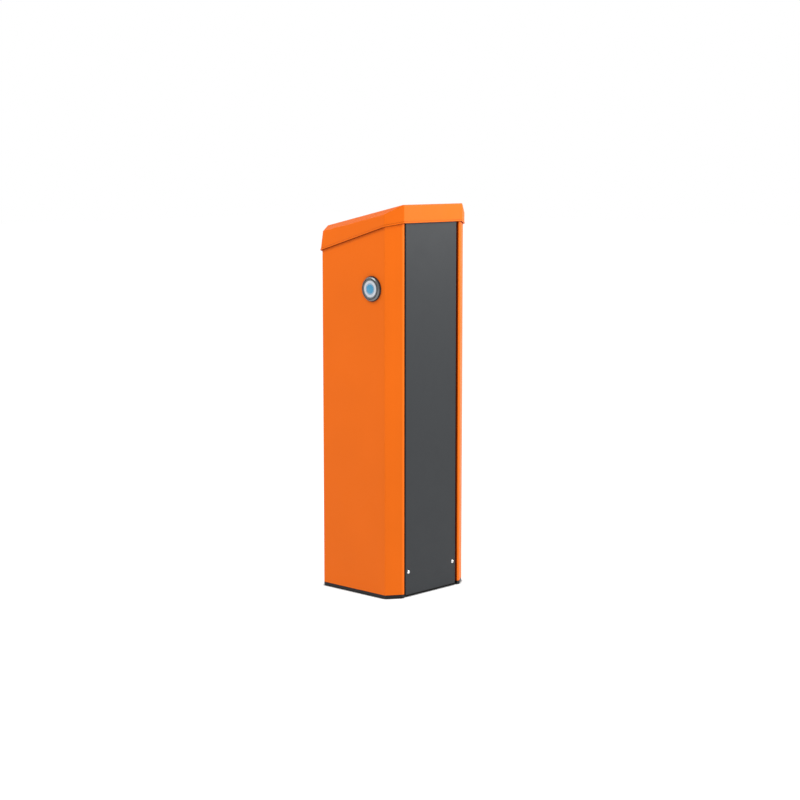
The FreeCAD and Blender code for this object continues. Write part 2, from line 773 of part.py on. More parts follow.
def at_buffer(degrees, turn_sign, offset):
    """Point beside the stop arm, at the arm's end position, and the way out from it."""
    dy, dz = polar(36, degrees)
    wy, wz = polar(1, degrees + 90 * turn_sign)
    return (57, shaft_y + dy + wy * offset, shaft_z + dz + wz * offset), Vector(0, wy, wz)


def stop_buffers():
    """Rubber buffers that the stop arm meets, one at each end of its quarter turn."""
    buffers = []
    for degrees, turn_sign in stop_ends:
        start, way = at_buffer(degrees, turn_sign, 7.5)
        one = rod(start, way, 9, 14)
        buffers.append(rounded(one, 2, lambda e: e.Length < 58 and e.CenterOfMass.isEqual(Vector(*start), 1)))
    return group(buffers)


def buffer_brackets():
    """Angle brackets on the right upright behind the rubber buffers."""
    brackets = []
    for degrees, turn_sign in stop_ends:
        start, way = at_buffer(degrees, turn_sign, 21.5)
        plate = Part.makeBox(web_face - 44, 24, 4, Vector(44, -12, 0))
        tab = Part.makeBox(4, 24, 16, Vector(web_face - 4, -12, 0))
        one = plate.fuse(tab).removeSplitter()
        turn = FreeCAD.Rotation(X_AXIS, math.degrees(math.atan2(-way.y, way.z)))
        one.Placement = FreeCAD.Placement(Vector(0, start[1], start[2]), turn)
        brackets.append(one)
    return group(brackets)


# Motor --------------------------------------------------------------------

def motor_housing():
    """Can with cooling fins round it and a closed left end."""
    at = (motor_left, motor_y, motor_z)
    can = rod(at, X_AXIS, motor_r - 4, motor_right - motor_left)
    fins = []
    for k in range(7):
        fins.append(rod((motor_left + 8 + 8 * k, motor_y, motor_z), X_AXIS, motor_r, 4))
    can = can.fuse(fins)
    can = can.cut(rod((motor_left + 4, motor_y, motor_z), X_AXIS, motor_r - 8, 100))
    boss = rod(at, X_AXIS, 24, 16)
    can = can.fuse(boss).cut(rod((motor_left + 3, motor_y, motor_z), X_AXIS, 20, 20))
    return can.cut(rod((0, motor_y, motor_z), X_AXIS, motor_shaft_r + 2, 40))


def motor_end_shield():
    """Square plate between the motor and the right upright."""
    shield = box(motor_right, web_face, motor_y - 46, motor_y + 46, motor_z - 46, motor_z + 46)
    shield = rounded(shield, 8, lambda e: runs_along(e, X_AXIS))
    boss = rod((motor_right - 12, motor_y, motor_z), X_AXIS, 24, 13)
    shield = shield.fuse(boss)
    shield = shield.cut(rod((motor_right - 13, motor_y, motor_z), X_AXIS, 20, 13))
    for dy, dz in square_corners(motor_bolt_offset):
        shield = shield.cut(rod((motor_right - 8, motor_y + dy, motor_z + dz), X_AXIS, 3, 20))
    return shield


def motor_bolts():
    bolts = []
    for dy, dz in square_corners(motor_bolt_offset):
        seat = (motor_right, motor_y + dy, motor_z + dz)
        bolts.append(hex_head(seat, Vector(-1, 0, 0), 10, 4, 3, 4))
    return bolts


def motor_stator():
    """Laminated ring with twelve teeth."""
    core = tube((32, motor_y, motor_z), X_AXIS, motor_r - 8, 33, 28)
    teeth = []
    for k in range(12):
        tooth = Part.makeBox(28, 8, 6.5, Vector(32, -4, 27.5))
        tooth.Placement = FreeCAD.Placement(Vector(0, motor_y, motor_z), FreeCAD.Rotation(X_AXIS, 30 * k))
        teeth.append(tooth)
    return core.fuse(teeth).cut(rod((20, motor_y, motor_z), X_AXIS, 28, 60)).removeSplitter()


def motor_windings():
    """One coil round each stator tooth."""
    coils = []
    for k in range(12):
        coil = Part.makeBox(34, 13, 3.3, Vector(29, -6.5, 28.8))
        coil = coil.cut(Part.makeBox(28, 8, 10, Vector(32, -4, 26)))
        coil.Placement = FreeCAD.Placement(Vector(0, motor_y, motor_z), FreeCAD.Rotation(X_AXIS, 30 * k))
        coils.append(coil)
    return group(coils)


def motor_bearings():
    rings = []
    for start in (motor_left + 3, motor_right - 12):
        rings.append(tube((start, motor_y, motor_z), X_AXIS, 20, motor_shaft_r + running_gap, 12))
    return group(rings)


def motor_rotor():
    """Motor shaft, its hub, and ten magnets round the hub."""
    shaft = rod((-3, motor_y, motor_z), X_AXIS, motor_shaft_r, 3 + motor_right - 0.5)
    shaft = shaft.makeChamfer(1.0, [edge for edge in shaft.Edges if edge.BoundBox.XLength < 1e-3])
    hub = tube((33, motor_y, motor_z), X_AXIS, 22.5, motor_shaft_r, 26)
    pieces = [shaft, hub]
    for k in range(10):
        magnet = Part.makeBox(26, 11.5, 3.6, Vector(33, -5.75, 22.6))
        magnet.Placement = FreeCAD.Placement(Vector(0, motor_y, motor_z), FreeCAD.Rotation(X_AXIS, 36 * k))
        pieces.append(magnet)
    return group(pieces)


def crank_arm():
    """Clamped crank on the motor shaft, parallel to the drive arm."""
    arm = link_plate(motor_y, motor_z, motor_y + lever_r, motor_z, 17, 12, 20, arm_from, arm_to)
    arm = arm.cut(rod((-2, motor_y, motor_z), X_AXIS, motor_shaft_r, 20))
    return arm.cut(rod((-2, motor_y + lever_r, motor_z), X_AXIS, link_pin_r, 20))


def connecting_rod():
    """Flat rod from the crank pin to the lever pin."""
    y0 = shaft_y + lever_r
    y1 = motor_y + lever_r
    one = link_plate(y0, shaft_z, y1, motor_z, 12.5, 12.5, 13, link_from, link_to)
    one = one.cut(rod((-20, y0, shaft_z), X_AXIS, link_pin_r + open_pivot_gap, 30))
    return one.cut(rod((-20, y1, motor_z), X_AXIS, link_pin_r + running_gap, 30))


# Electrical parts ---------------------------------------------------------

def equipment_plates():
    """Folded plates across the uprights: the upper carries the controller, the lower the mains parts."""
    plates = []
    for back, low, high in ((case_back - 2, 676, 786), (rail_y - 2, 170, 400)):
        plate = box(-web_face, web_face, back, back + 2, low, high)
        for side in (-1, 1):
            x0, x1 = sorted((side * (web_face - 2), side * web_face))
            plate = plate.fuse(box(x0, x1, back - 20, back + 2, low, high))
        plates.append(plate.removeSplitter())
    return group(plates)


def controller_case():
    """Open-backed case with a display window and four button holes."""
    case = box(-72, 52, case_back, case_face, 682, 782)
    case = rounded(case, 3, lambda e: e.BoundBox.YMin > case_face - 1e-6 or runs_along(e, Y_AXIS))
    case = case.cut(box(-69.5, 49.5, case_back - 8, case_face - 2.5, 684.5, 779.5))
    case = case.cut(box(*display_x, case_face - 5, case_face + 1, *display_z))
    for x in button_xs:
        case = case.cut(rod((x, case_face - 10, button_z), Y_AXIS, button_r + 0.4, 20))
    return case


def controller_display():
    return box(*display_x, case_face - 2.5, case_face - 0.4, *display_z)


def push_button(x):
    """Button cap with the collar that keeps it behind the case."""
    cap = rod((x, case_face - 5, button_z), Y_AXIS, button_r, 8)
    cap = rounded(cap, 0.8, lambda e: e.BoundBox.YMin > case_face + 2.9)
    collar = rod((x, case_face - 4.8, button_z), Y_AXIS, button_r + 1.4, 2.0)
    return cap.fuse(collar).removeSplitter()


def din_rail():
    """Top-hat rail, 35 mm wide."""
    web = rail_half - 5
    step = rail_y + 7.5
    upper = [(rail_y, web), (step - 1, web), (step - 1, rail_half), (step, rail_half), (step, web - 1),
             (rail_y + 1, web - 1)]
    hat = upper + [(y, -z) for y, z in reversed(upper)]
    return plate_yz([(y, rail_z + z) for y, z in hat], -74, 74)


def rail_device(x0, x1, low, high, depth):
    """Housing clipped over the rail's edges."""
    body = box(x0, x1, 38.5, depth, rail_z - low, rail_z + high)
    return body.cut(box(x0 - 1, x1 + 1, 30, rail_y + 7.5, rail_z - rail_half, rail_z + rail_half))


def terminal_blocks():
    """Seven feed-through terminals with wire entries and screw wells."""
    blocks = []
    for k in range(7):
        x0 = -72 + 6.4 * k
        block = rail_device(x0, x0 + 6.0, 24, 24, 82)
        block = block.cut(box(x0 - 1, x0 + 7, 70, 90, rail_z + 14, rail_z + 30))
        block = block.cut(box(x0 - 1, x0 + 7, 70, 90, rail_z - 30, rail_z - 14))
        for dz in (-19, 19):
            block = block.cut(rod((x0 + 3, 60, rail_z + dz), Y_AXIS, 1.8, 20))
        for dz in (-9, 9):
            block = block.cut(rod((x0 + 3, 74, rail_z + dz), Y_AXIS, 1.8, 20))
        blocks.append(block)
    return group(blocks)


def circuit_breaker():
    """Single-pole breaker with the hollow that its toggle's drum turns in."""
    body = rail_device(-24, -6, 40, 40, 80)
    nose = box(-24, -6, 80, 94, rail_z - 22, rail_z + 22)
    body = body.fuse(nose).removeSplitter()
    drum = rod((-19.2, toggle_y, rail_z), X_AXIS, 7.4, 8.4)
    slot = box(-19.2, -10.8, toggle_y, 96, rail_z - 12, rail_z + 12)
    body = body.cut(drum.fuse(slot))
    for dz in (-32, 32):
        body = body.cut(rod((-15, 70, rail_z + dz), Y_AXIS, 3, 20))
    return body


def breaker_toggle():
    """Rocker of the main switch, resting up, which is on."""
    drum = rod((-18.6, toggle_y, rail_z), X_AXIS, 7.0, 7.2)
    lever = box(-18.6, -11.4, toggle_y, 102, rail_z - 2.5, rail_z + 2.5)
    lever.rotate(Vector(0, toggle_y, rail_z), X_AXIS, toggle_deg)
    return drum.fuse(lever).removeSplitter()


def power_supply():
    """Mains supply with vent slots and a row of terminal wells."""
    body = rail_device(2, 66, 45, 45, 96)
    for k in range(9):
        x = 8 + 6 * k
        body = body.cut(box(x, x + 3, 52, 90, rail_z + 43, rail_z + 50))
    for k in range(5):
        body = body.cut(rod((14 + 10 * k, 90, rail_z - 36), Y_AXIS, 2.5, 20))
    return body


def cable_rail():
    """Rail over the cable window, with saddle clamps for three incoming cables."""
    rail = box(-web_face, web_face, 52, 54, 60, 90)
    for z in (60, 88):
        rail = rail.fuse(box(-web_face, web_face, 42, 54, z, z + 2))
    pieces = [rail.removeSplitter()]
    for x in (-40, 0, 40):
        saddle = rod((x, 66, 66), Z_AXIS, 13, 18)
        saddle = saddle.fuse(box(x - 13, x + 13, 54, 66, 66, 84))
        saddle = saddle.cut(rod((x, 66, 60), Z_AXIS, 9, 30))
        saddle = saddle.cut(box(x - 9, x + 9, 56, 66, 60, 90))
        pieces.append(saddle.removeSplitter())
    return group(pieces)


# Output -------------------------------------------------------------------

def build():
    right_shell = side_shell()
    right_upright = upright()
    nodes = {
        "base_frame": base_frame(),
        "anchor_clamp_bars": clamp_bars(),
        "right_shell": right_shell,
        "left_shell": mirror_x(right_shell),
        "shell_brackets": shell_brackets(),
        "right_upright": right_upright,
        "left_upright": mirror_x(right_upright),
        "front_panel": front_panel(),
        "front_panel_screws": front_panel_screws(),
        "rear_header": rear_header(),
        "hood": hood(),
        "hood_stiffener": hood_stiffener(),
        "hood_rest_pads": hood_rest_pads(),
        "cap_ring": cap_ring(),
        "cap_medallion": cap_medallion(),
        "service_door": door(),
        "door_hinge_pins": door_hinge_pins(),
        "door_gasket": door_gasket(),
        "lock_body": lock_body(),
        "lock_plug": lock_plug(),
        "lock_cam": lock_cam(),
        "drive_shaft": drive_shaft(),
        "shaft_lever": shaft_lever(),
        "spring_pins": spring_pins(),
        "lever_pin": link_pin(shaft_y + lever_r, shaft_z),
        "crank_pin": link_pin(motor_y + lever_r, motor_z),
        "tie_rods": tie_rods(),
        "spring_seats": spring_seats(),
        "balance_springs": balance_springs(),
        "spring_bracket": spring_bracket(),
        "bearing_housings": bearing_housings(),
        "frame_bolts": group(upright_foot_bolts() + bearing_housing_bolts() + motor_bolts()),
        "bearing_outer_rings": group(bearing_rings(bearing_r, bearing_race_r + 3.2)),
        "bearing_inner_rings": bearing_inner_rings(bearing_race_r - 3.2),
        "boom_hub": boom_hub(),
        "boom_hub_screw": boom_hub_screw(),
        "stop_arm": stop_arm(),
        "stop_buffers": stop_buffers(),
        "buffer_brackets": buffer_brackets(),
        "motor_housing": motor_housing(),
        "motor_end_shield": motor_end_shield(),
        "motor_stator": motor_stator(),
        "motor_windings": motor_windings(),
        "motor_bearings": motor_bearings(),
        "motor_rotor": motor_rotor(),
        "crank_arm": crank_arm(),
        "connecting_rod": connecting_rod(),
    }
    return nodes


def electrical():
    nodes = {
        "controller_case": controller_case(),
        "controller_display": controller_display(),
        "equipment_plates": equipment_plates(),
        "din_rail": din_rail(),
        "terminal_blocks": terminal_blocks(),
        "circuit_breaker": circuit_breaker(),
        "breaker_toggle": breaker_toggle(),
        "power_supply": power_supply(),
        "cable_rail": cable_rail(),
    }
    for k, x in enumerate(button_xs, 1):
        nodes["push_button_%d" % k] = push_button(x)
    return nodes


os.makedirs("parts", exist_ok=True)
for name, shape in {**build(), **electrical()}.items():
    shape.exportStep("parts/" + name + ".step")
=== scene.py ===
import json
import math

import bmesh
import bpy
from mathutils import Matrix, Vector


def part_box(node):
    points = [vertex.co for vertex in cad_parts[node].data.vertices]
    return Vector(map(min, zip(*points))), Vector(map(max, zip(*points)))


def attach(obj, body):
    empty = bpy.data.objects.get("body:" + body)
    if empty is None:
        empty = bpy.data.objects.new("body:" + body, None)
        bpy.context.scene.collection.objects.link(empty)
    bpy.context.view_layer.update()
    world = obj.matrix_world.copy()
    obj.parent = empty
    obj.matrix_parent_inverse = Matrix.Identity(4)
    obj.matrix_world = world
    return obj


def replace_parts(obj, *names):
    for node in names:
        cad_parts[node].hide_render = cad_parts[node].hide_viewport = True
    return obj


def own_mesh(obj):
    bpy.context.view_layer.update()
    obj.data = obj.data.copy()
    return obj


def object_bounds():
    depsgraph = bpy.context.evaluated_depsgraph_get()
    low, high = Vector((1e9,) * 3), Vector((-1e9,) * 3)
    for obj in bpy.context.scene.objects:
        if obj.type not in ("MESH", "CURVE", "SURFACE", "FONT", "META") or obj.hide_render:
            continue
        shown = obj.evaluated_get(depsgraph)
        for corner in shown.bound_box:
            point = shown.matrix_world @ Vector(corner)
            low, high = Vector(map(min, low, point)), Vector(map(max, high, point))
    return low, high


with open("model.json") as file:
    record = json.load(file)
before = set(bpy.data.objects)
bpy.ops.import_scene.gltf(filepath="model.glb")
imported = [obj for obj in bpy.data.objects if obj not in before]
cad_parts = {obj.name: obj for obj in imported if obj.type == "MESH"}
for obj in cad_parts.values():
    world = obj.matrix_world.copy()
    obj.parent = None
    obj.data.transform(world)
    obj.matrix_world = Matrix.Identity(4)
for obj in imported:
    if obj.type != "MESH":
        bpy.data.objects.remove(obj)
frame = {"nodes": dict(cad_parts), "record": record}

cad_low, cad_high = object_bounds()
scene = bpy.context.scene

# Camera, floor and light ----------------------------------------------------

camera_place = Vector((-3.0847, -2.9438, 1.0255))
camera_yaw_deg = 46.5593
camera_pitch_deg = 7.7361
camera_lens = 81.04
sky_strength = 0.58
floor_half_width = 20


def add_object(name, data):
    made = bpy.data.objects.new(name, data)
    scene.collection.objects.link(made)
    return made


def aim(thing, place, direction):
    thing.location = place
    thing.rotation_mode = "QUATERNION"
    thing.rotation_quaternion = direction.to_track_quat("-Z", "Y")


def add_camera():
    data = bpy.data.cameras.new("photo_view")
    data.lens = camera_lens
    data.sensor_width = 36.0
    data.clip_end = 60.0
    yaw = math.radians(camera_yaw_deg)
    pitch = math.radians(camera_pitch_deg)
    look = Vector((math.sin(yaw) * math.cos(pitch), math.cos(yaw) * math.cos(pitch), -math.sin(pitch)))
    made = add_object("photo_view", data)
    aim(made, camera_place, look)
    scene.camera = made


def area_light(name, place, target, size, power):
    data = bpy.data.lights.new(name, "AREA")
    data.shape = "RECTANGLE"
    data.size, data.size_y = size
    data.energy = power
    made = add_object(name, data)
    aim(made, Vector(place), Vector(target) - Vector(place))


def add_world():
    """Even soft light all round, with a pure white backdrop."""
    world = bpy.data.worlds.new("soft_studio")
    world.use_nodes = True
    tree = world.node_tree
    light = tree.nodes["Background"]
    light.inputs["Color"].default_value = (1, 1, 1, 1)
    light.inputs["Strength"].default_value = sky_strength
    backdrop = tree.nodes.new("ShaderNodeBackground")
    backdrop.inputs["Color"].default_value = (1, 1, 1, 1)
    path = tree.nodes.new("ShaderNodeLightPath")
    mix = tree.nodes.new("ShaderNodeMixShader")
    tree.links.new(path.outputs["Is Camera Ray"], mix.inputs[0])
    tree.links.new(light.outputs[0], mix.inputs[1])
    tree.links.new(backdrop.outputs[0], mix.inputs[2])
    tree.links.new(mix.outputs[0], tree.nodes["World Output"].inputs["Surface"])
    scene.world = world


def add_lights():
    add_world()
    area_light("key", (0.25, -1.15, 1.65), (0, -0.1, 0.8), (0.9, 0.9), 8.5)
    area_light("panel_sheen", (1.6, -1.8, 1.5), (0, -0.1, 0.7), (1.0, 1.0), 38)
    area_light("upper_left", (-1.0, 0.45, 2.0), (-0.13, 0, 0.6), (0.4, 0.4), 9.5)
    area_light("right_fill", (2.6, 0.9, 2.2), (0, 0, 0.6), (1.2, 1.6), 11)
    area_light("back_fill", (-0.6, 2.6, 2.0), (0, 0, 0.6), (1.4, 1.4), 12)


def add_floor():
    mesh = bpy.data.meshes.new("floor")
    edit = bmesh.new()
    bmesh.ops.create_grid(edit, x_segments=8, y_segments=8, size=floor_half_width)
    edit.to_mesh(mesh)
    edit.free()
    floor = add_object("floor", mesh)
    floor.location.z = cad_low.z
    floor.data.materials.append(floor_material())


# Materials ------------------------------------------------------------------

# Reach of the painted shade in gaps and under rims.
painted_shade_reach = 0.011
# Reach and colour of the painted contact shadow on the floor.
painted_contact_reach = 0.009
painted_contact_shadow = (0.03, 0.03, 0.03)
smooth_below_deg = 32


def new_material(name, specular=0.5):
    made = bpy.data.materials.new(name)
    made.use_nodes = True
    tree = made.node_tree
    shader = tree.nodes["Principled BSDF"]
    shader.inputs["Specular IOR Level"].default_value = specular
    return made, tree, shader


def add_node(tree, kind, **values):
    node = tree.nodes.new(kind)
    for key, value in values.items():
        setattr(node, key, value)
    return node


def noise(tree, scale, detail=3.0, roughness=0.5, stretch=None):
    """Noise over the object's own coordinates, so that its grain keeps its real size."""
    coords = tree.nodes.get("coords") or add_node(tree, "ShaderNodeTexCoord", name="coords")
    texture = add_node(tree, "ShaderNodeTexNoise")
    texture.inputs["Scale"].default_value = scale
    texture.inputs["Detail"].default_value = detail
    texture.inputs["Roughness"].default_value = roughness
    source = coords.outputs["Object"]
    if stretch:
        mapping = add_node(tree, "ShaderNodeMapping")
        mapping.inputs["Scale"].default_value = stretch
        tree.links.new(source, mapping.inputs["Vector"])
        source = mapping.outputs["Vector"]
    tree.links.new(source, texture.inputs["Vector"])
    return texture.outputs["Fac"]


def ramp(tree, source, low, high, low_value, high_value):
    """Map a source so that low..high becomes low_value..high_value."""
    node = add_node(tree, "ShaderNodeMapRange")
    limits = (("From Min", low), ("From Max", high), ("To Min", low_value), ("To Max", high_value))
    for name, value in limits:
        node.inputs[name].default_value = value
    tree.links.new(source, node.inputs["Value"])
    return node.outputs["Result"]


def spread(tree, source, low_value, high_value):
    """Use the middle of a noise's range for the whole way between two values."""
    return ramp(tree, source, 0.3, 0.7, low_value, high_value)


def mix_colour(tree, factor, first, second):
    node = add_node(tree, "ShaderNodeMix", data_type="RGBA")
    for socket, value in ((6, first), (7, second)):
        if isinstance(value, tuple):
            node.inputs[socket].default_value = (*value, 1)
        else:
            tree.links.new(value, node.inputs[socket])
    tree.links.new(factor, node.inputs[0])
    return node.outputs[2]


def bevel_normal(tree, radius):
    bevel = add_node(tree, "ShaderNodeBevel", samples=4)
    bevel.inputs["Radius"].default_value = radius
    return bevel.outputs["Normal"]


def edge_mask(tree, radius):
    """1 on sharp outer edges, falling to 0 on flat faces."""
    geometry = add_node(tree, "ShaderNodeNewGeometry")
    dot = add_node(tree, "ShaderNodeVectorMath", operation="DOT_PRODUCT")
    tree.links.new(bevel_normal(tree, radius), dot.inputs[0])
    tree.links.new(geometry.outputs["Normal"], dot.inputs[1])
    return ramp(tree, dot.outputs["Value"], 1.0, 0.93, 0.0, 1.0)


def painted_shade_mask(tree, reach):
    """Painted shade mask: 1 deep in gaps and under rims, falling to 0 on open faces."""
    occlusion = add_node(tree, "ShaderNodeAmbientOcclusion", samples=6)
    occlusion.inputs["Distance"].default_value = reach
    return ramp(tree, occlusion.outputs["AO"], 0.42, 0.88, 1.0, 0.0)


def set_bump(tree, shader, height, distance, bevel_radius):
    """Fine surface relief over softly rounded edges."""
    bump = add_node(tree, "ShaderNodeBump")
    bump.inputs["Distance"].default_value = distance
    bump.inputs["Strength"].default_value = 0.6
    tree.links.new(height, bump.inputs["Height"])
    tree.links.new(bevel_normal(tree, bevel_radius), bump.inputs["Normal"])
    tree.links.new(bump.outputs["Normal"], shader.inputs["Normal"])


def shaded(colour, share):
    return tuple(min(c * share, 1) for c in colour)


def coated(name, colour, rough=(0.3, 0.4), grain=900.0, depth=0.00006, edge=0.25, specular=0.5, shade=None):
    """Powder coat or enamel: orange-peel grain, slow colour drift, rubbed edges and painted shade in gaps
    and under rims.
    """
    made, tree, shader = new_material(name, specular)
    drift = spread(tree, noise(tree, 4.0, 2.0), 0, 1)
    base = mix_colour(tree, drift, shaded(colour, 0.97), shaded(colour, 1.03))
    if edge:
        rubbed = add_node(tree, "ShaderNodeMath", operation="MULTIPLY")
        tree.links.new(edge_mask(tree, 0.001), rubbed.inputs[0])
        tree.links.new(ramp(tree, noise(tree, 60.0, 4.0), 0.35, 0.75, 0, edge), rubbed.inputs[1])
        worn = tuple(min(c * 1.2 + 0.03, 1) for c in colour)
        base = mix_colour(tree, rubbed.outputs[0], base, worn)
    # Painted shade: the base colour darkens toward the shade colour in gaps and under rims.
    if shade:
        base = mix_colour(tree, painted_shade_mask(tree, painted_shade_reach), base, shade)
    tree.links.new(base, shader.inputs["Base Color"])
    tree.links.new(spread(tree, noise(tree, 22.0, 5.0, 0.6), *rough), shader.inputs["Roughness"])
    set_bump(tree, shader, noise(tree, grain, 2.0), depth, 0.0008)
    return made


def metal(name, colour, rough=(0.25, 0.4), stretch=None, grain=700.0, depth=0.00004):
    """Bare or plated metal with an even or drawn grain and faint stains."""
    made, tree, shader = new_material(name)
    stain = ramp(tree, noise(tree, 30.0, 5.0, 0.65), 0.35, 0.7, 0, 1)
    tree.links.new(mix_colour(tree, stain, colour, shaded(colour, 0.88)), shader.inputs["Base Color"])
    shader.inputs["Metallic"].default_value = 1.0
    lay = noise(tree, grain, 3.0, 0.6, stretch)
    tree.links.new(spread(tree, lay, *rough), shader.inputs["Roughness"])
    set_bump(tree, shader, lay, depth, 0.0004)
    return made


def moulded(name, colour, rough=(0.35, 0.5), grain=1400.0, specular=0.5, glow=0.0):
    """Moulded plastic, rubber or glass: fine grain and a slight change of shade."""
    made, tree, shader = new_material(name, specular)
    drift = spread(tree, noise(tree, 14.0), 0, 1)
    tree.links.new(mix_colour(tree, drift, colour, shaded(colour, 1.05)), shader.inputs["Base Color"])
    fine = noise(tree, grain, 2.0)
    tree.links.new(spread(tree, fine, *rough), shader.inputs["Roughness"])
    shader.inputs["Emission Color"].default_value = (*colour, 1)
    shader.inputs["Emission Strength"].default_value = glow
    set_bump(tree, shader, fine, 0.00003, 0.0005)
    return made


def floor_material():
    """Plain pale floor with a painted contact shadow round whatever stands on it."""
    made, tree, shader = new_material("studio_floor", 0.0)
    # Painted shadow: the floor's colour and glow turn dark close to whatever stands on it.
    contact = painted_shade_mask(tree, painted_contact_reach)
    tone = mix_colour(tree, noise(tree, 1.2, 2.0), (0.30, 0.30, 0.30), (0.32, 0.32, 0.32))
    tree.links.new(mix_colour(tree, contact, tone, painted_contact_shadow), shader.inputs["Base Color"])
    shader.inputs["Roughness"].default_value = 0.9
    tree.links.new(mix_colour(tree, contact, (1, 1, 1), painted_contact_shadow), shader.inputs["Emission Color"])
    shader.inputs["Emission Strength"].default_value = 0.85
    return made


def make_materials():
    drawn_x = (1, 30, 30)
    return {
        # shade= is the colour of the painted shade in gaps and under rims of the orange and panel paints.
        "orange_paint": coated("orange_paint", (0.84, 0.148, 0.003), (0.42, 0.5), edge=0.12,
                               specular=0.12, shade=(0.16, 0.006, 0.0)),
        "panel_paint": coated("panel_paint", (0.015, 0.018, 0.021), (0.44, 0.52), 1300.0, 0.0001,
                              specular=0.38, shade=(0.003, 0.003, 0.004)),
        "base_paint": coated("base_paint", (0.006, 0.006, 0.007), (0.4, 0.5), specular=0.3),
        "cap_plastic": moulded("cap_plastic", (0.045, 0.052, 0.060), (0.2, 0.28)),
        "cap_metallic": metal("cap_metallic", (0.20, 0.21, 0.22), (0.34, 0.42), None, 1400.0, 0.00002),
        "medallion_white": moulded("medallion_white", (0.55, 0.58, 0.63), (0.15, 0.22)),
        "stainless": metal("stainless", (0.82, 0.82, 0.81), (0.14, 0.24)),
        "zinc_plate": metal("zinc_plate", (0.56, 0.58, 0.60), (0.32, 0.5), grain=120.0),
        "rubber": moulded("rubber", (0.012, 0.012, 0.012), (0.6, 0.75)),
        "chrome": metal("chrome", (0.78, 0.78, 0.80), (0.08, 0.16)),
        "machined_steel": metal("machined_steel", (0.50, 0.50, 0.50), (0.22, 0.36), drawn_x, 90.0),
        "lever_paint": coated("lever_paint", (0.020, 0.022, 0.025), (0.35, 0.45), edge=0.5),
        "hub_steel": metal("hub_steel", (0.46, 0.47, 0.48), (0.25, 0.38), (12, 1, 1)),
        "spring_steel": coated("spring_steel", (0.020, 0.022, 0.030), (0.3, 0.4), edge=0.0),
        "cast_iron": coated("cast_iron", (0.050, 0.060, 0.070), (0.45, 0.6), 500.0, 0.0002, 0.4),
        "cast_aluminium": metal("cast_aluminium", (0.62, 0.63, 0.64), (0.4, 0.55), None, 600.0, 0.00012),
        "stator_steel": metal("stator_steel", (0.25, 0.25, 0.27), (0.35, 0.5), (30, 1, 1)),
        "copper": metal("copper", (0.65, 0.28, 0.13), (0.25, 0.4), (1, 1, 12)),
        "controller_plastic": moulded("controller_plastic", (0.45, 0.46, 0.48)),
        "display_glass": moulded("display_glass", (0.16, 0.30, 0.20), (0.05, 0.10), glow=0.25),
        "button_plastic": moulded("button_plastic", (0.030, 0.032, 0.036), (0.45, 0.6)),
        "device_plastic": moulded("device_plastic", (0.42, 0.43, 0.42)),
        "toggle_plastic": moulded("toggle_plastic", (0.012, 0.012, 0.012), (0.2, 0.3)),
        "supply_metal": coated("supply_metal", (0.30, 0.32, 0.33), (0.35, 0.45), edge=0.3),
        "emblem_blue": moulded("emblem_blue", (0.055, 0.29, 0.50), (0.2, 0.3)),
        "ink_grey": moulded("ink_grey", (0.05, 0.055, 0.06), (0.5, 0.6)),
        "label_white": moulded("label_white", (0.62, 0.63, 0.63), (0.4, 0.5)),
        "lamp_green": moulded("lamp_green", (0.05, 0.6, 0.12), (0.1, 0.2), glow=0.8),
        "lamp_amber": moulded("lamp_amber", (0.8, 0.35, 0.03), (0.1, 0.2), glow=0.5),
        "connector_green": moulded("connector_green", (0.03, 0.22, 0.09), (0.4, 0.5)),
    }


def smooth(mesh):
    mesh.shade_smooth()
    mesh.set_sharp_from_angle(angle=math.radians(smooth_below_deg))


def paint_frame():
    """Give every CAD node the finish of its slot, and smooth shading across its round faces."""
    for part in frame["record"]["subparts"]:
        node = frame["nodes"][part["node"]]
        node.data.materials.clear()
        node.data.materials.append(materials[part["material_slot"]])
        smooth(node.data)


# Shape helpers --------------------------------------------------------------

def piece(name, edit, material, body="cabinet"):
    """Turn an edited mesh into a piece that rides on a body."""
    mesh = bpy.data.meshes.new(name)
    bmesh.ops.recalc_face_normals(edit, faces=edit.faces)
    edit.to_mesh(mesh)
    edit.free()
    mesh.materials.append(materials[material])
    smooth(mesh)
    made = add_object(name, mesh)
    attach(made, body)
    return made


def add_ring_faces(edit, rings, closed_ends=True):
    """Skin a row of equal rings of points, and close its two ends."""
    verts = [[edit.verts.new(point) for point in ring] for ring in rings]
    count = len(verts[0])
    for first, second in zip(verts, verts[1:]):
        for k in range(count):
            after = (k + 1) % count
            edit.faces.new((first[k], first[after], second[after], second[k]))
    if closed_ends:
        edit.faces.new(verts[0][::-1])
        edit.faces.new(verts[-1])


def add_turned(edit, centre, axis, profile, segments=24, closed_ends=True):
    """Turned solid: profile is (radius, distance along the axis from the centre)."""
    turn = Vector((0, 0, 1)).rotation_difference(Vector(axis))
    rings = []
    for radius, along in profile:
        ring = []
        for k in range(segments):
            angle = 2 * math.pi * k / segments
            local = Vector((radius * math.cos(angle), radius * math.sin(angle), along))
            ring.append(Vector(centre) + turn @ local)
        rings.append(ring)
    add_ring_faces(edit, rings, closed_ends)


def add_block(edit, low, high, edge=0.0002):
    """Box between two corners with bevelled edges."""
    size = Vector(high) - Vector(low)
    middle = (Vector(high) + Vector(low)) / 2
    place = Matrix.Translation(middle) @ Matrix.Diagonal((*size, 1))
    made = bmesh.ops.create_cube(edit, size=1.0, matrix=place)
    edges = list({e for v in made["verts"] for e in v.link_edges})
    bmesh.ops.bevel(edit, geom=edges, offset=edge, segments=1, affect="EDGES")


def add_plate(edit, x0, x1, z0, z1, face):
    """Thin plate or printed mark that stands just proud of a face looking along +Y."""
    add_block(edit, (x0, face - 0.0003, z0), (x1, face + 0.0003, z1), 0.0001)


